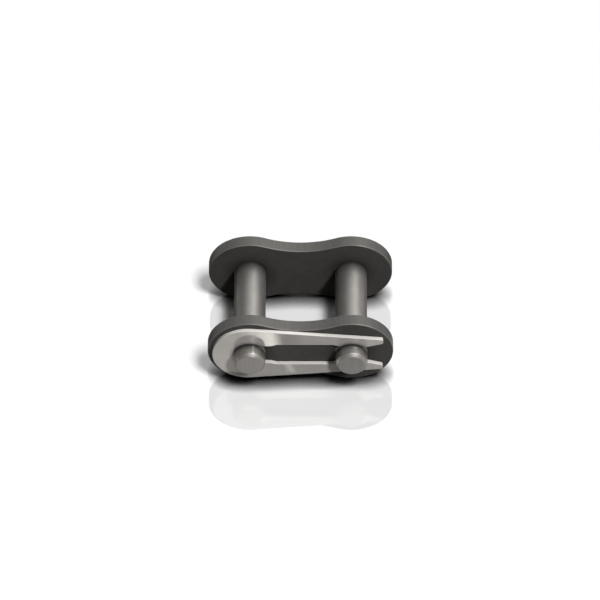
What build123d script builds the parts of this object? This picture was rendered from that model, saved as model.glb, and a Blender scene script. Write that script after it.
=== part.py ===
from build123d import *
import math
import os

# Roller chain connecting link: two pins riveted into a plate, a cover plate that slides over their
# free ends, and a flat spring clip that snaps into their grooves. Lengths are in millimetres.
# X runs along the chain, Y along the pins and Z up. The origin lies midway between the pin axes,
# halfway between the plates, and the clip is on the -Y side.

# Chain
PITCH = 25.4  # between the pin axes
PLATE_GAP = 22.7  # between the inner faces of the two plates

# Plates
PLATE_THICKNESS = 3.2
PLATE_HEIGHT = 20.8  # across a round end
WAIST_HEIGHT = 16.0  # across the narrow middle
PLATE_EDGE_RADIUS = 0.25  # blanked edge, tumbled round
HOLE_CHAMFER = 0.2
SLIP_CLEARANCE = 0.04  # radial, between a pin and its hole in the cover plate

# Pins
PIN_DIAMETER = 7.94
NOSE_LENGTH = 3.32  # from the groove to the pin's free end
NOSE_CHAMFER_DEPTH = 0.67  # across the pin
NOSE_CHAMFER_LENGTH = 0.7  # along the pin
NOSE_EDGE_RADIUS = 0.3
GROOVE_DEPTH = 1.02
GROOVE_CORNER_RADIUS = 0.15
RIVET_HEIGHT = 1.7  # from the plate to the pin's riveted end
RIVET_SPREAD = 0.35  # how far riveting swells the pin, radially
RIVET_ROUNDING = 1.1

# Spring clip
CLIP_THICKNESS = 1.03
CLIP_PLATE_GAP = 0.05  # between the clip and the cover plate
CLIP_PLAY = 0.25  # between the clip and the groove's outer wall
CLIP_END_RADIUS = 8.9  # outside of the closed end
CLIP_END_OFFSET = 0.35  # how far the closed end's centre lies outside the pin axis
CLIP_TIP_REACH = 7.8  # from the pin axis to the tips
CLIP_TIP_WIDTH = 1.5
CLIP_TIP_RADIUS = 0.6
CLIP_EDGE_RADIUS = 0.12
END_SEAT_CLEARANCE = 0.19  # radial, round the groove at the closed end
END_SEAT_LENGTH = 5.15  # from the pin axis to where the closed end's seat opens
END_RAMP_LENGTH = 1.65
SLOT_RELIEF = 0.73  # how far each side of the slot stands outside the groove
SNAP_SEAT_CLEARANCE = 0.1  # radial, round the groove at the open end
SNAP_BITE = 0.19  # how far each neck stands inside the groove's outline
SNAP_RAMP_START = 4.65  # from the pin axis, on the slot's side
SNAP_RAMP_LENGTH = 2.4
NECK_LENGTH = 3.2  # from the pin axis to where the mouth starts to flare
MOUTH_FLARE = 1.34  # how far each side of the mouth opens out from its neck
OPENING_CORNER_RADIUS = 0.5
LIP_RADIUS = 0.25  # where a neck meets the snap seat

# Sizes that follow from those above. Distances to the front are from the middle of the link.
HALF_PITCH = PITCH / 2
PIN_RADIUS = PIN_DIAMETER / 2
GROOVE_RADIUS = PIN_RADIUS - GROOVE_DEPTH
INNER_FACE = PLATE_GAP / 2
OUTER_FACE = INNER_FACE + PLATE_THICKNESS
CLIP_BACK = OUTER_FACE + CLIP_PLATE_GAP
CLIP_TIP = HALF_PITCH + CLIP_TIP_REACH
CLIP_NECK = GROOVE_RADIUS - SNAP_BITE
CLIP_MOUTH = CLIP_NECK + MOUTH_FLARE
GROOVE_END = CLIP_BACK + CLIP_THICKNESS + CLIP_PLAY
PIN_FRONT = GROOVE_END + NOSE_LENGTH
PIN_BACK = -OUTER_FACE - RIVET_HEIGHT

# The front is -Y: it is the third axis of FRONT_VIEW and the second of PIN_SECTION.
FRONT_VIEW = Plane.XZ
PIN_SECTION = Plane(origin=(0, 0, 0), x_dir=(1, 0, 0), z_dir=(0, 0, -1))


def ease(face, corners, radius):
    """Round the face's corners at the given places."""
    vertices = [face.vertices().sort_by_distance((x, y, 0))[0] for x, y in corners]
    return fillet(vertices, radius)


def both_sides(points):
    """The points, and then their mirror images below the X axis in reverse order."""
    return points + [(x, -z) for x, z in reversed(points)]


def plate_outline():
    """Face of a link plate: two round ends, drawn in between by two arcs tangent to both."""
    end = PLATE_HEIGHT / 2
    waist = WAIST_HEIGHT / 2
    waist_arc = (HALF_PITCH**2 + waist**2 - end**2) / (2 * (end - waist))
    share = end / (end + waist_arc)  # the arcs touch on the line that joins their centres
    touch_x = HALF_PITCH * (1 - share)
    touch_z = (waist + waist_arc) * share
    tip_x = HALF_PITCH + end
    top = ThreePointArc((-touch_x, touch_z), (0, waist), (touch_x, touch_z))
    right = ThreePointArc((touch_x, touch_z), (tip_x, 0), (touch_x, -touch_z))
    return make_face([top, right, mirror(top, Plane.XZ), mirror(right, Plane.YZ)])


def face_edges(solid, closed):
    """Edges round a plate's faces: those of its holes if closed, or else those of its rim."""
    edges = solid.edges().filter_by(Axis.Y, reverse=True)
    return edges.filter_by(lambda edge: edge.is_closed == closed)


def link_plate(back, hole_radius):
    """A plate blanked with both pin holes, from its back face forwards."""
    blank = plate_outline()
    for x in (-HALF_PITCH, HALF_PITCH):
        blank -= Pos(x, 0) * Circle(hole_radius)
    plate = extrude(FRONT_VIEW * Pos(0, 0, back) * blank, PLATE_THICKNESS)
    plate = fillet(face_edges(plate, closed=False), PLATE_EDGE_RADIUS)
    return chamfer(face_edges(plate, closed=True), HOLE_CHAMFER)


def pin_section():
    """Half section of a pin, as distance from its axis and distance to the front."""
    head = PIN_RADIUS + RIVET_SPREAD
    nose = PIN_RADIUS - NOSE_CHAMFER_DEPTH
    chamfer_start = PIN_FRONT - NOSE_CHAMFER_LENGTH
    outline = Polyline(
        (0, PIN_BACK),
        (head, PIN_BACK),
        (head, -OUTER_FACE),
        (PIN_RADIUS, -OUTER_FACE),
        (PIN_RADIUS, OUTER_FACE),
        (GROOVE_RADIUS, OUTER_FACE),
        (GROOVE_RADIUS, GROOVE_END),
        (PIN_RADIUS, GROOVE_END),
        (PIN_RADIUS, chamfer_start),
        (nose, PIN_FRONT),
        (0, PIN_FRONT),
        close=True,
    )
    section = ease(make_face(outline), [(head, PIN_BACK)], RIVET_ROUNDING)
    groove_floor = [(GROOVE_RADIUS, OUTER_FACE), (GROOVE_RADIUS, GROOVE_END)]
    section = ease(section, groove_floor, GROOVE_CORNER_RADIUS)
    return ease(section, [(PIN_RADIUS, chamfer_start), (nose, PIN_FRONT)], NOSE_EDGE_RADIUS)


def link_pin(x):
    """A turned pin with its clip groove, chamfered nose and riveted head."""
    return Pos(x, 0, 0) * revolve(PIN_SECTION * pin_section(), Axis.Y)


def clip_blank():
    """Outside of the clip: a round closed end whose two tangents run on to the tips."""
    centre_x = -HALF_PITCH - CLIP_END_OFFSET
    tip_z = CLIP_MOUTH + CLIP_TIP_WIDTH
    reach = math.hypot(CLIP_TIP - centre_x, tip_z)
    angle = math.atan2(tip_z, CLIP_TIP - centre_x) + math.acos(CLIP_END_RADIUS / reach)
    touch_x = centre_x + CLIP_END_RADIUS * math.cos(angle)
    touch_z = CLIP_END_RADIUS * math.sin(angle)
    bend = ThreePointArc((touch_x, -touch_z), (centre_x - CLIP_END_RADIUS, 0), (touch_x, touch_z))
    sides = Polyline(bend @ 1, (CLIP_TIP, tip_z), (CLIP_TIP, -tip_z), bend @ 0)
    return make_face([bend, sides])


def clip_face():
    """Face of the clip: its blank less a seat round each groove, a slot and a flared mouth."""
    end_seat = GROOVE_RADIUS + END_SEAT_CLEARANCE
    snap_seat = GROOVE_RADIUS + SNAP_SEAT_CLEARANCE
    slot = GROOVE_RADIUS + SLOT_RELIEF
    end_seat_x = END_SEAT_LENGTH - HALF_PITCH
    slot_end = HALF_PITCH - SNAP_RAMP_START
    bends = [
        (end_seat_x, end_seat),
        (end_seat_x + END_RAMP_LENGTH, slot),
        (slot_end, slot),
        (slot_end + SNAP_RAMP_LENGTH, CLIP_NECK),
        (HALF_PITCH + NECK_LENGTH, CLIP_NECK),
    ]
    sides = both_sides([(-HALF_PITCH, end_seat), *bends, (CLIP_TIP, CLIP_MOUTH)])
    opening = make_face(Polyline(*sides, close=True))
    opening += Pos(-HALF_PITCH, 0) * Circle(end_seat)
    opening += Pos(HALF_PITCH, 0) * Circle(snap_seat)
    lip = math.sqrt(snap_seat**2 - CLIP_NECK**2)
    lips = [(HALF_PITCH - lip, CLIP_NECK), (HALF_PITCH + lip, CLIP_NECK)]
    face = ease(clip_blank() - opening, both_sides(bends), OPENING_CORNER_RADIUS)
    face = ease(face, both_sides(lips), LIP_RADIUS)
    tips = face.vertices().group_by(Axis.X)[-1]
    return fillet(tips, CLIP_TIP_RADIUS)


def spring_clip():
    """The clip, blanked from spring steel strip with its edges rounded."""
    clip = extrude(FRONT_VIEW * Pos(0, 0, CLIP_BACK) * clip_face(), CLIP_THICKNESS)
    return fillet(clip.edges().filter_by(Axis.Y, reverse=True), CLIP_EDGE_RADIUS)


def connecting_link():
    """Every piece of the link, by name."""
    return {
        "pin_link_plate": link_plate(-OUTER_FACE, PIN_RADIUS),
        "link_pin_left": link_pin(-HALF_PITCH),
        "link_pin_right": link_pin(HALF_PITCH),
        "cover_plate": link_plate(INNER_FACE, PIN_RADIUS + SLIP_CLEARANCE),
        "spring_clip": spring_clip(),
    }


os.makedirs("parts", exist_ok=True)
for name, shape in connecting_link().items():
    shape.label = name
    export_step(shape, f"parts/{name}.step")
    print(name, "volume", round(shape.volume, 1), "mm3")
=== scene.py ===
# %% [markdown]
# # A chain connecting link in three steels
# A connecting link closes a roller chain into a loop and lets it be opened again. Two pins are riveted
# into a plate, a cover plate slides over their free ends, and a flat spring clip snaps into a groove near
# the end of each pin and holds the cover plate on. All five shapes come from the CAD model, so this
# lesson is about the rest: three steel finishes, the table the link stands on, its light and a camera.

# %% Load the link
import math

import bpy
import numpy as np
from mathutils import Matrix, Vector


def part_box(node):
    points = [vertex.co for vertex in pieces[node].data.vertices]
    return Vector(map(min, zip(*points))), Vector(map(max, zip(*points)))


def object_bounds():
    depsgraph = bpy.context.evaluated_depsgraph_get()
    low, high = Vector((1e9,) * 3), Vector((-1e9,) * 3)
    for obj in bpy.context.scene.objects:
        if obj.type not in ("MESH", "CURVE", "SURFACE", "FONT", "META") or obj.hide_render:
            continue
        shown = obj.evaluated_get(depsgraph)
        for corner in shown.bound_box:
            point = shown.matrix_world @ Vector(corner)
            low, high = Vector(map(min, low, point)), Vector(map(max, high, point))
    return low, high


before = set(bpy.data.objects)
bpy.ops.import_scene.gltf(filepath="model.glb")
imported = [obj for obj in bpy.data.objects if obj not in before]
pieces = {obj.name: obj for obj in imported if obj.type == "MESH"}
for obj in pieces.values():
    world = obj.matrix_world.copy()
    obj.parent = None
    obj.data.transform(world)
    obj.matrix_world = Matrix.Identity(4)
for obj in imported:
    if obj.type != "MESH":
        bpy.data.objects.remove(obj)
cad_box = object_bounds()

MM = 0.001
scene = bpy.context.scene
for name in sorted(pieces):
    low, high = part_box(name)
    print(name, "measures in mm", [round((end - start) / MM, 2) for start, end in zip(low, high)])

# %% [markdown]
# ## The camera
# Small parts are often shown through a long lens from far off, because then edges that are parallel on
# the part stay nearly parallel in the view. A camera with no perspective at all would be simpler, but
# it looks flat. This one stands 1.35 m away, which is 29 times the length of the link, and looks down at
# 49.6 degrees, so that the plates show both their faces and their rims. The lens follows from how wide
# the view has to be at that distance.

# %% Camera
VIEW_DOWN = math.radians(49.6)
VIEW_DISTANCE = 1.35
VIEW_WIDTH = 0.15056
SENSOR_WIDTH = 36.0
VIEW_CENTRE = np.array((-0.12, 2.24, 0.0)) * MM
FAR_CLIP = 50.0


def aimed(thing, place, target):
    """Put a camera or lamp at a place, turned so that the -Z axis that it looks along meets the target."""
    thing.location = place
    towards = Vector(target) - Vector(place)
    thing.rotation_euler = towards.to_track_quat("-Z", "Y").to_euler()
    scene.collection.objects.link(thing)
    return thing


camera = bpy.data.objects.new("camera", bpy.data.cameras.new("camera"))
camera.data.sensor_width = SENSOR_WIDTH
camera.data.lens = SENSOR_WIDTH * VIEW_DISTANCE / VIEW_WIDTH
camera.data.clip_end = FAR_CLIP
back_off = np.array((0.0, -math.cos(VIEW_DOWN), math.sin(VIEW_DOWN))) * VIEW_DISTANCE
aimed(camera, VIEW_CENTRE + back_off, VIEW_CENTRE)
scene.camera = camera
print("lens", round(camera.data.lens, 1), "mm")

# %% [markdown]
# ## Materials as sums
# A Blender material is a tree of nodes, usually wired up by hand. Here each helper adds one node and
# gives back its output, so that a finish can be written as a sum of what a metalworker would name: how
# dark the scale is, how coarse the grain, where it is worn. `plug` accepts a number or another node's
# output, and that is what lets the helpers nest.

# %% Helpers that add nodes


def plug(tree, given, socket):
    """Link a node's output to the socket, or write a plain value into it."""
    if isinstance(given, bpy.types.NodeSocket):
        tree.links.new(given, socket)
    else:
        socket.default_value = given


def add_node(tree, kind, settings=None, **inputs):
    """Add a node: settings are its own options, and inputs are its sockets, with _ for each space."""
    made = tree.nodes.new("ShaderNode" + kind)
    for option, value in (settings or {}).items():
        setattr(made, option, value)
    for socket, given in inputs.items():
        plug(tree, given, made.inputs[socket.replace("_", " ")])
    return made


def calc(tree, operation, first, second=0.0):
    """One step of arithmetic on two values, such as ADD or MULTIPLY."""
    made = add_node(tree, "Math", {"operation": operation})
    plug(tree, first, made.inputs[0])
    plug(tree, second, made.inputs[1])
    return made.outputs[0]


def remap(tree, value, low, high, at_low, at_high):
    """Straight line from at_low where value is low to at_high where it is high, level beyond both."""
    made = add_node(tree, "MapRange")
    for socket, given in zip(made.inputs, (value, low, high, at_low, at_high)):
        plug(tree, given, socket)
    return made.outputs[0]


def blend(tree, share, first, second):
    """The first colour where share is 0, the second where it is 1."""
    made = add_node(tree, "Mix", {"data_type": "RGBA"})
    # A Mix node keeps sockets for each kind of value: the colours have inputs 6 and 7 and output 2.
    for slot, given in zip((0, 6, 7), (share, first, second)):
        plug(tree, given, made.inputs[slot])
    return made.outputs[2]


def place_part(tree, axis):
    """One part of the place on the piece: its X, Y or Z in metres."""
    place = add_node(tree, "TexCoord").outputs["Object"]
    return add_node(tree, "SeparateXYZ", Vector=place).outputs[axis]


def new_material(name):
    """An empty material and its tree."""
    made = bpy.data.materials.new(name)
    made.use_nodes = True
    made.node_tree.nodes.clear()
    return made, made.node_tree


def hand_over(material, shader):
    """Make the shader what the material shows, and say how many nodes it took."""
    tree = material.node_tree
    tree.links.new(shader, add_node(tree, "OutputMaterial").inputs["Surface"])
    print(material.name, "has", len(tree.nodes), "nodes")
    return material


# %% [markdown]
# ## Speckle
# Rolled, ground and tumbled steel differ mostly in the shape of their grain. All three can come from one
# smooth noise if the place is divided by a grain size first: equal sizes give round mottling, and one
# size much longer than the others draws the grain out into streaks. The sizes are in millimetres, so
# they can be compared with the part. Each streak or spot stays put on its piece, because the place is
# read in the piece's own coordinates.
#
# The noise hovers round one half, so `between` stretches its middle over the whole way from 0 to 1. The
# same noise, read as a height, gives the fine unevenness that breaks up a highlight.

# %% Speckle and shades of steel
NOISE_LOW, NOISE_HIGH = 0.3, 0.7
OILED = (1.0, 0.955, 0.905)


def speckle(tree, grain, detail=3.0):
    """Noise with grains of the given millimetres along X, Y and Z: smooth noise of place / grain."""
    place = add_node(tree, "TexCoord").outputs["Object"]
    per_grain = [1 / (size * MM) for size in grain]
    scaled = add_node(tree, "Mapping", Vector=place, Scale=per_grain).outputs[0]
    return add_node(tree, "TexNoise", Vector=scaled, Scale=1.0, Detail=detail).outputs["Fac"]


def between(tree, noise, least, most):
    """A value that wanders from least to most as the noise does."""
    return remap(tree, noise, NOISE_LOW, NOISE_HIGH, least, most)


def grey(level):
    """A neutral colour of that level, from 0 for black to 1 for white."""
    return (level, level, level, 1.0)


BLACK = grey(0.0)


def steel(level):
    """The slightly warm grey of steel with a film of oil."""
    return (*(level * share for share in OILED), 1.0)


def shades(tree, noise, dark, light):
    """Steel that wanders between a dark and a light shade as the noise does."""
    return blend(tree, between(tree, noise, 0.0, 1.0), steel(dark), steel(light))


def uneven(tree, height, strength, depth):
    """The surface's direction, tilted by the slope of a height whose hills are depth millimetres high."""
    return add_node(tree, "Bump", Height=height, Strength=strength, Distance=depth * MM).outputs[0]


# %% [markdown]
# ## Faces, rims and worn edges
# The link is built along one axis: plates and clip are flat sheets that face front and back, and the pins
# are cut off square. So a single number tells a face from a rim, the square of the normal's Y part. It
# is 1 on a face and 0 on a rim. A rounded or chamfered edge lies between, and `4 f (1 - f)` is largest
# exactly there, which is where steel is rubbed bright. This needs no painting and fits every piece.

# %% Faces and edges


def facing(tree):
    """How squarely the surface faces front or back: the normal's Y part, squared."""
    normal = add_node(tree, "TexCoord").outputs["Normal"]
    return calc(tree, "POWER", add_node(tree, "SeparateXYZ", Vector=normal).outputs["Y"], 2.0)


def on_edge(tree, face):
    """1 halfway between face and rim, 0 on either: 4 f (1 - f)."""
    return calc(tree, "MULTIPLY", calc(tree, "MULTIPLY", face, calc(tree, "SUBTRACT", 1.0, face)), 4.0)


# %% [markdown]
# ## Painted shade in the corners
# Where a pin leaves a plate or the clip, the corner is painted darker, as the shade that falls there.
# Ambient occlusion could find such corners, but they are all rings round the two pin axes, so their
# distance can be worked out instead, which is quicker and free of grain. The painted shade falls off as a
# square: strong in the corner itself and soon gone.

# %% Painted corner shade
PIN_RADIUS = 3.97 * MM
pin_low, pin_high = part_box("link_pin_right")
pin_x = (pin_low.x + pin_high.x) / 2
plate_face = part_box("pin_link_plate")[0].y
clip_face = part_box("spring_clip")[0].y
print("pin axes at", round(pin_x / MM, 2), "mm each side, clip face at", round(clip_face / MM, 2), "mm")


def from_pin(tree):
    """Distance from the nearer pin: the length of (|x| - half the pitch, z), less the pin's radius."""
    sideways = calc(tree, "SUBTRACT", calc(tree, "ABSOLUTE", place_part(tree, "X")), pin_x)
    squares = [calc(tree, "MULTIPLY", side, side) for side in (sideways, place_part(tree, "Z"))]
    return calc(tree, "SUBTRACT", calc(tree, "SQRT", calc(tree, "ADD", *squares)), PIN_RADIUS)


def from_plane(tree, y):
    """Distance from the plane at y, measured along a pin."""
    return calc(tree, "ABSOLUTE", calc(tree, "SUBTRACT", place_part(tree, "Y"), y))


def painted_corner_shade(tree, distance, reach, share):
    """Painted shade that is share in the corner and falls as a square to none at reach, in millimetres."""
    return calc(tree, "POWER", remap(tree, distance, 0.0, reach * MM, math.sqrt(share), 0.0), 2.0)


# %% [markdown]
# ## Plate steel
# Both link plates are blanked from thick strip, hardened and tumbled. Their faces keep a dark, matt scale
# with a fine grain. Their rims were sheared by the punch, so they are lighter, with streaks across the
# thickness, and the tumbled edge between them is rubbed bright. One material does for both plates: it
# mixes these three finishes by `facing` and `on_edge`. The faces have hardly any gloss. Only the rims
# are partly metallic, because bare steel shows there.

# %% Plate steel
SCALE_DARK, SCALE_LIGHT = 0.052, 0.060
SCALE_MOTTLE = (2.4, 2.4, 2.4)
SCALE_GRAIN = (0.19, 0.19, 0.19)
RIM_DARK, RIM_LIGHT = 0.130, 0.158
RIM_STREAKS = (0.38, 6.2, 0.38)
RIM_METAL = 0.5
PLATE_EDGE = 0.20
EDGE_WEAR = (0.6, 1.0)
PLATE_SHADE_REACH, PLATE_PAINTED_SHADE = 5.0, 0.56
PLATE_ROUGHNESS = (0.42, 0.54)
PLATE_GLOSS = 0.05
PLATE_BUMPS = (0.25, 0.03)


def plate_steel():
    """Dark scale on the faces, sheared steel on the rims, bright wear in between and painted shade round
    the pins.
    """
    made, tree = new_material("plate_steel")
    face = facing(tree)
    rim = calc(tree, "SUBTRACT", 1.0, face)
    mottle = speckle(tree, SCALE_MOTTLE, detail=4.0)
    grain = speckle(tree, SCALE_GRAIN, detail=2.0)
    streaks = speckle(tree, RIM_STREAKS)
    colour = blend(tree, rim, shades(tree, mottle, SCALE_DARK, SCALE_LIGHT),
                   shades(tree, streaks, RIM_DARK, RIM_LIGHT))
    wear = calc(tree, "MULTIPLY", on_edge(tree, face), between(tree, mottle, *EDGE_WEAR))
    colour = blend(tree, wear, colour, steel(PLATE_EDGE))
    # Painted shade: the faces darken towards each pin, as shade in the corner where the pin leaves the
    # plate.
    corner = painted_corner_shade(tree, from_pin(tree), PLATE_SHADE_REACH, PLATE_PAINTED_SHADE)
    colour = blend(tree, calc(tree, "MULTIPLY", corner, face), colour, BLACK)
    height = calc(tree, "ADD", grain, calc(tree, "MULTIPLY", streaks, rim))
    shader = add_node(tree, "BsdfPrincipled", Base_Color=colour, Specular_IOR_Level=PLATE_GLOSS,
                      Roughness=between(tree, grain, *PLATE_ROUGHNESS),
                      Metallic=calc(tree, "MULTIPLY", rim, RIM_METAL),
                      Normal=uneven(tree, height, *PLATE_BUMPS))
    return hand_over(made, shader.outputs[0])


plates = plate_steel()

# %% [markdown]
# ## Pin steel
# The pins are turned from bar, hardened and ground. Grinding leaves rings of very fine lines round the
# pin, so the speckle is long across it and short along it, and it drives both the roughness and a slight
# bump. The ends are only cut off, and the back ones are riveted over: they are duller, with straight
# marks from the cut. Anisotropic gloss could draw the long highlight of a ground pin, but it puts hot
# spots on the ends, so plain roughness is used, and a long lamp draws the highlight instead.

# %% Pin steel
GROUND_DARK, GROUND_LIGHT = 0.35, 0.39
GROUND_MOTTLE = (2.0, 2.0, 2.0)
GRINDING_RINGS = (8.3, 0.11, 8.3)
CUT_DARK, CUT_LIGHT = 0.25, 0.285
CUT_MARKS = (0.5, 8.0, 6.0)
CUT_FROM, CUT_TO = 0.1, 0.9
PAINTED_CHAMFER_SHADE = 0.25
PIN_METAL = 0.85
AT_PLATE_REACH, AT_PLATE_PAINTED_SHADE = 3.8, 0.72
AT_CLIP_REACH, AT_CLIP_PAINTED_SHADE = 2.8, 0.94
PIN_ROUGHNESS = (0.42, 0.48)
PIN_GLOSS = 0.12
PIN_BUMPS = (0.15, 0.02)


def pin_steel():
    """Ground steel round the pin, duller cut steel on its ends, with painted shade on the chamfers and near
    the plate and clip.
    """
    made, tree = new_material("pin_steel")
    face = facing(tree)
    cut_end = remap(tree, face, CUT_FROM, CUT_TO, 0.0, 1.0)
    mottle = speckle(tree, GROUND_MOTTLE, detail=4.0)
    rings = speckle(tree, GRINDING_RINGS, detail=2.0)
    cuts = speckle(tree, CUT_MARKS)
    colour = blend(tree, cut_end, shades(tree, mottle, GROUND_DARK, GROUND_LIGHT),
                   shades(tree, cuts, CUT_DARK, CUT_LIGHT))
    # Painted shade: the chamfers are darkened, as the shade they show beside the bright top.
    shade = calc(tree, "MULTIPLY", on_edge(tree, face), PAINTED_CHAMFER_SHADE)
    # Painted shade: the pin darkens towards the plate and towards the clip, as shade in those corners.
    at_plate = painted_corner_shade(tree, from_plane(tree, plate_face), AT_PLATE_REACH, AT_PLATE_PAINTED_SHADE)
    at_clip = painted_corner_shade(tree, from_plane(tree, clip_face), AT_CLIP_REACH, AT_CLIP_PAINTED_SHADE)
    darker = calc(tree, "MAXIMUM", shade, calc(tree, "MAXIMUM", at_plate, at_clip))
    colour = blend(tree, darker, colour, BLACK)
    shader = add_node(tree, "BsdfPrincipled", Base_Color=colour, Specular_IOR_Level=PIN_GLOSS,
                      Roughness=between(tree, rings, *PIN_ROUGHNESS),
                      Metallic=remap(tree, cut_end, 0.0, 1.0, PIN_METAL, 0.0),
                      Normal=uneven(tree, rings, *PIN_BUMPS))
    return hand_over(made, shader.outputs[0])


pins = pin_steel()

# %% [markdown]
# ## Clip steel
# The clip is blanked from bright spring strip. Cold rolling leaves the smoothest face of the three, with
# faint lines the way the strip ran through the mill, along the link. A low roughness lets the clip
# reflect as the others can't, and that is why it needs something to reflect: see the cards further down.

# %% Clip steel
STRIP_DARK, STRIP_LIGHT = 0.355, 0.405
STRIP_MOTTLE = (3.3, 3.3, 3.3)
ROLLING_LINES = (16.0, 0.25, 0.28)
CLIP_EDGE = 0.74
CLIP_SHADE_REACH, CLIP_PAINTED_SHADE = 1.5, 0.9
CLIP_ROUGHNESS = (0.10, 0.14)
EDGE_ROUGHNESS = 0.3
CLIP_METAL = 0.04
CLIP_GLOSS = 0.4
CLIP_BUMPS = (0.1, 0.01)


def clip_steel():
    """Bright rolled strip with paler, rougher edges and painted shade round the noses."""
    made, tree = new_material("clip_steel")
    face = facing(tree)
    rim = calc(tree, "SUBTRACT", 1.0, face)
    mottle = speckle(tree, STRIP_MOTTLE)
    lines = speckle(tree, ROLLING_LINES)
    colour = blend(tree, rim, shades(tree, mottle, STRIP_DARK, STRIP_LIGHT), steel(CLIP_EDGE))
    # Painted shade: the face darkens right round each pin's nose, as shade where the nose stands out of the
    # clip.
    corner = painted_corner_shade(tree, from_pin(tree), CLIP_SHADE_REACH, CLIP_PAINTED_SHADE)
    colour = blend(tree, calc(tree, "MULTIPLY", corner, face), colour, BLACK)
    rougher = calc(tree, "MULTIPLY", rim, EDGE_ROUGHNESS)
    shader = add_node(tree, "BsdfPrincipled", Base_Color=colour, Specular_IOR_Level=CLIP_GLOSS,
                      Roughness=calc(tree, "ADD", between(tree, lines, *CLIP_ROUGHNESS), rougher),
                      Metallic=CLIP_METAL, Normal=uneven(tree, lines, *CLIP_BUMPS))
    return hand_over(made, shader.outputs[0])


clip = clip_steel()

# %% [markdown]
# ## Handing out the steels
# A CAD piece keeps its mesh. Only the material in its one slot changes, so the shapes stay exactly as
# they were modelled, down to the rounding of each edge.

# %% Hand out the steels
finishes = {
    "pin_link_plate": plates,
    "cover_plate": plates,
    "link_pin_left": pins,
    "link_pin_right": pins,
    "spring_clip": clip,
}
for name, finish in finishes.items():
    pieces[name].material_slots[0].material = finish
    print(name, "is", finish.name)

# %% [markdown]
# ## The table
# The link stands on glossy white card, which shows a faint mirror image and a soft dark line where the
# steel touches it. A white table would also throw a lot of light up at the link, so this one is pale
# only for rays that look at it, and darker for the rays that carry its light onto the steel. The mirror
# is a sharp glossy shader added to a matt one, and the contact line is ambient occlusion, raised to a
# power so that it hugs the link. Flat pieces like this are worked out as a grid of corners with numpy.

# %% Table
TABLE_SIZE = 8.0
TABLE_WHITE = 0.73
TABLE_BOUNCE = 0.10
TABLE_MIRROR = 0.30
MIRROR_ROUGHNESS = 0.02
CONTACT_REACH = 4.6 * MM
CONTACT_POWER = 4.0
CONTACT_SAMPLES = 16
table_top = cad_box[0].z


def plainly_seen(tree):
    """1 for rays that show a thing itself: from the camera, in a mirror or through glass."""
    path = add_node(tree, "LightPath")
    seen = calc(tree, "MAXIMUM", path.outputs["Is Camera Ray"], path.outputs["Is Glossy Ray"])
    return calc(tree, "MAXIMUM", seen, path.outputs["Is Transmission Ray"])


def glossy_card():
    """White card with a faint mirror, dark where something stands on it."""
    made, tree = new_material("glossy_card")
    near = add_node(tree, "AmbientOcclusion", {"samples": CONTACT_SAMPLES}, Distance=CONTACT_REACH)
    open_table = calc(tree, "POWER", near.outputs["AO"], CONTACT_POWER)
    seen = plainly_seen(tree)
    shown = blend(tree, open_table, BLACK, grey(TABLE_WHITE))
    matt = add_node(tree, "BsdfDiffuse", Color=blend(tree, seen, grey(TABLE_BOUNCE), shown))
    gloss = blend(tree, calc(tree, "MULTIPLY", open_table, seen), BLACK, grey(TABLE_MIRROR))
    mirror = add_node(tree, "BsdfGlossy", Color=gloss, Roughness=MIRROR_ROUGHNESS)
    both = add_node(tree, "AddShader")
    tree.links.new(matt.outputs[0], both.inputs[0])
    tree.links.new(mirror.outputs[0], both.inputs[1])
    return hand_over(made, both.outputs[0])


def level_sheet(name, low, high, height, material):
    """A level rectangle between two corners: x and y each run from low to high on a grid of two."""
    x, y = np.meshgrid(np.array((low[0], high[0])), np.array((low[1], high[1])))
    corners = np.stack((x, y, np.full_like(x, height)), axis=-1).reshape(4, 3)
    mesh = bpy.data.meshes.new(name)
    mesh.from_pydata(corners.tolist(), [], [(0, 1, 3, 2)])
    mesh.materials.append(material)
    sheet = bpy.data.objects.new(name, mesh)
    scene.collection.objects.link(sheet)
    return sheet


half_table = TABLE_SIZE / 2
table = level_sheet("table", (-half_table, -half_table), (half_table, half_table), table_top, glossy_card())
print("table top at", round(table_top / MM, 2), "mm")

# %% [markdown]
# ## Cards for the reflections
# In a studio, small cards lie round shiny things: a white one puts a bright patch into a reflection, and
# a black one keeps it dark. Real cards would also change the light. These are seen only by reflections,
# and only from above, so they neither shade the link nor show in the table's mirror. The clip reflects
# the table just in front of it, straight down its face, so a card's place along X is also the patch's
# place on the clip. Each arm has its own card, the upper arm's lying further out. A card's glow is a sum
# of bands that lean a little, as from softboxes seen out of square: a weak one that gives the arm its
# tone, and a bright one, wide on the upper arm and a narrow streak on the lower.

# %% Cards
CARD_LIFT = 0.2 * MM
CARD_WARMTH = (1.0, 0.96, 0.90, 1.0)
DARK_CARD = 0.03


def level_glow(strength):
    """A glow of the same strength all over the card."""
    return lambda tree: strength


def slanted_glow(slant, *bands):
    """A sum of bands along s = x - slant y, each band its two ramps multiplied."""

    def glow(tree):
        shift = calc(tree, "MULTIPLY", place_part(tree, "Y"), slant)
        s = calc(tree, "DIVIDE", calc(tree, "SUBTRACT", place_part(tree, "X"), shift), MM)
        total = 0.0
        for left, right in bands:
            band = calc(tree, "MULTIPLY", remap(tree, s, *left), remap(tree, s, *right))
            total = calc(tree, "ADD", total, band)
        return total

    return glow


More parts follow.
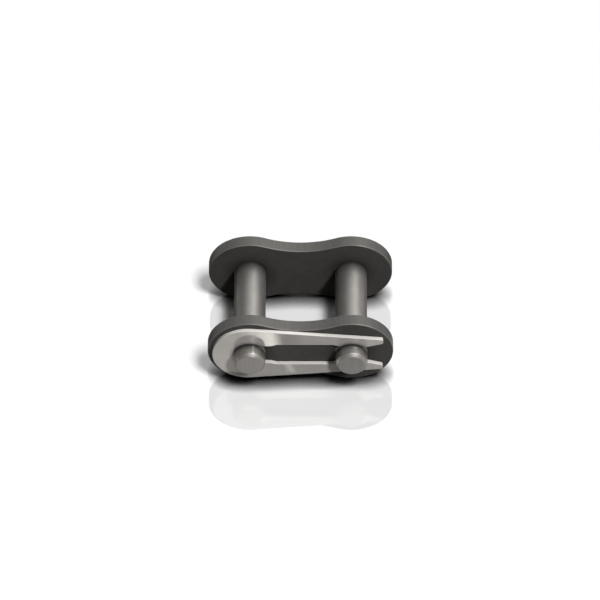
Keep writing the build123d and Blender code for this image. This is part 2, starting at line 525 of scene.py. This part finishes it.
def card(name, low, high, glow):
    """A glowing sheet on the table between two corners in millimetres, for reflections only."""
    made, tree = new_material(name + "_glow")
    front = add_node(tree, "Emission", Color=CARD_WARMTH, Strength=glow(tree)).outputs[0]
    behind = add_node(tree, "NewGeometry").outputs["Backfacing"]
    one_sided = add_node(tree, "MixShader", Fac=behind)
    tree.links.new(front, one_sided.inputs[1])
    tree.links.new(add_node(tree, "BsdfTransparent").outputs[0], one_sided.inputs[2])
    hand_over(made, one_sided.outputs[0])
    corners = [(x * MM, y * MM) for x, y in (low, high)]
    sheet = level_sheet(name, *corners, table_top + CARD_LIFT, made)
    sheet.visible_camera = False
    sheet.visible_diffuse = False
    sheet.visible_shadow = False
    sheet.visible_transmission = False


UPPER_SLANT, LOWER_SLANT = 0.185, 0.4
# A ramp says where it starts and ends, in millimetres, and its values there. A band is two ramps.
PATCH = (-9.5, -2.4, 2.2, 8.2), (-1.6, 0.6, 1.0, 0.0)
UPPER_ARM = (1.5, 7.0, 0.0, 1.0), (18.0, 24.0, 1.0, 1.8)
STREAK = (3.6, 5.4, 0.0, 2.6), (5.4, 6.6, 1.0, 0.0)
LOWER_ARM = (-9.0, -5.0, 2.4, 0.8), (21.0, 27.0, 1.0, 2.0)
card("upper_arm_card", (-22.0, -34.0), (22.0, -25.5), slanted_glow(UPPER_SLANT, PATCH, UPPER_ARM))
card("lower_arm_card", (-22.0, -25.5), (22.0, -18.5), slanted_glow(LOWER_SLANT, STREAK, LOWER_ARM))
card("front_dark_card", (-2.1, -45.0), (13.0, -34.0), level_glow(DARK_CARD))
card("inner_dark_card", (-11.0, 3.0), (11.0, 11.0), level_glow(DARK_CARD))
card("left_dark_card", (-90.0, -12.0), (-17.5, 60.0), level_glow(DARK_CARD))
card("right_dark_card", (19.0, 1.0), (90.0, 60.0), level_glow(DARK_CARD))

# %% [markdown]
# ## The air
# The world gives two different lights. To matt surfaces it is a weak, even fill, just enough to lift the
# shadows. To reflections and to the camera it is a studio: dark near the ground, pale overhead, and
# darker on the left, so that round steel gets a dark side. The light path tells the two kinds of ray
# apart.

# %% Air
FILL = 0.16
SKY_LOW, SKY_HIGH = 0.08, 0.88
SKY_TOP = 0.76
LEFT_SHARE = 0.12
LEFT_FROM, LEFT_TO = -0.42, -0.06

world = bpy.data.worlds.new("studio_air")
scene.world = world
world.use_nodes = True
air = world.node_tree
air.nodes.clear()
# For the world, Generated is the direction of the ray.
look = add_node(air, "SeparateXYZ", Vector=add_node(air, "TexCoord").outputs["Generated"])
upwards = remap(air, look.outputs["Z"], 0.0, SKY_TOP, SKY_LOW, SKY_HIGH)
sideways = remap(air, look.outputs["X"], LEFT_FROM, LEFT_TO, LEFT_SHARE, 1.0)
fill = add_node(air, "Background", Color=grey(1.0), Strength=FILL)
studio = add_node(air, "Background", Color=grey(1.0), Strength=calc(air, "MULTIPLY", upwards, sideways))
both = add_node(air, "MixShader", Fac=plainly_seen(air))
air.links.new(fill.outputs[0], both.inputs[1])
air.links.new(studio.outputs[0], both.inputs[2])
air.links.new(both.outputs[0], add_node(air, "OutputWorld").inputs["Surface"])
print("fill", FILL, "sky from", SKY_LOW, "to", SKY_HIGH)

# %% [markdown]
# ## The lamps
# An area lamp's power says little by itself: what counts is how bright a white card facing it would be.
# `softbox` asks for that share of the plain level and works out the power, which grows as the square of
# the distance. Far lamps light a small part evenly. Each has its own task and, through light linking,
# its own pieces:
#
# - the table lamp is large, and throws the link's soft shadow back and to the left
# - the key lamp is small, so the noses of the pins cast clear shadows on the clip
# - the strip lamp hangs parallel to the pins and draws the long highlight on each of them
# - the rear lamp lights the back of the link, and is kept out of reflections, where it would add a
#   second highlight to each pin

# %% Lamps


def softbox(name, direction, distance, size, share, lit):
    """A rectangular lamp: power = share * pi * pi * distance squared, for the pieces in lit only."""
    data = bpy.data.lights.new(name, "AREA")
    data.shape = "RECTANGLE"
    data.size, data.size_y = size
    data.energy = share * math.pi * math.pi * distance**2
    lamp = bpy.data.objects.new(name, data)
    lamp.visible_camera = False
    group = bpy.data.collections.new(name + "_lights")
    for thing in lit:
        group.objects.link(thing)
    lamp.light_linking.receiver_collection = group
    unit = np.array(direction) / np.linalg.norm(direction)
    print(name, round(data.energy, 1), "W on", len(lit), "pieces")
    return aimed(lamp, unit * distance, (0.0, 0.0, 0.0))


link = list(pieces.values())
STRIP_DIRECTION = (0.48, 0.25, 0.87)
softbox("table_lamp", (0.23, -0.29, 0.83), distance=8.0, size=(1.8, 1.8), share=1.01, lit=[table])
softbox("key_lamp", (0.365, -0.53, 0.755), distance=2.5, size=(0.30, 0.30), share=0.85, lit=link)
rear = softbox("rear_lamp", (-0.50, 0.80, 0.33), distance=2.5, size=(1.1, 1.1), share=0.60, lit=link)
rear.visible_glossy = False
strip = softbox("strip_lamp", STRIP_DIRECTION, distance=2.5, size=(0.9, 1.6), share=0.32, lit=link)
# Turned about Y alone, so that its long side stays parallel to the pins.
strip.rotation_euler = (0.0, math.atan2(STRIP_DIRECTION[0], STRIP_DIRECTION[2]), 0.0)

# %% [markdown]
# ## Finish
# The Standard view shows colours as they were written, with no film curve.

# %% Finish
scene.view_settings.view_transform = "Standard"
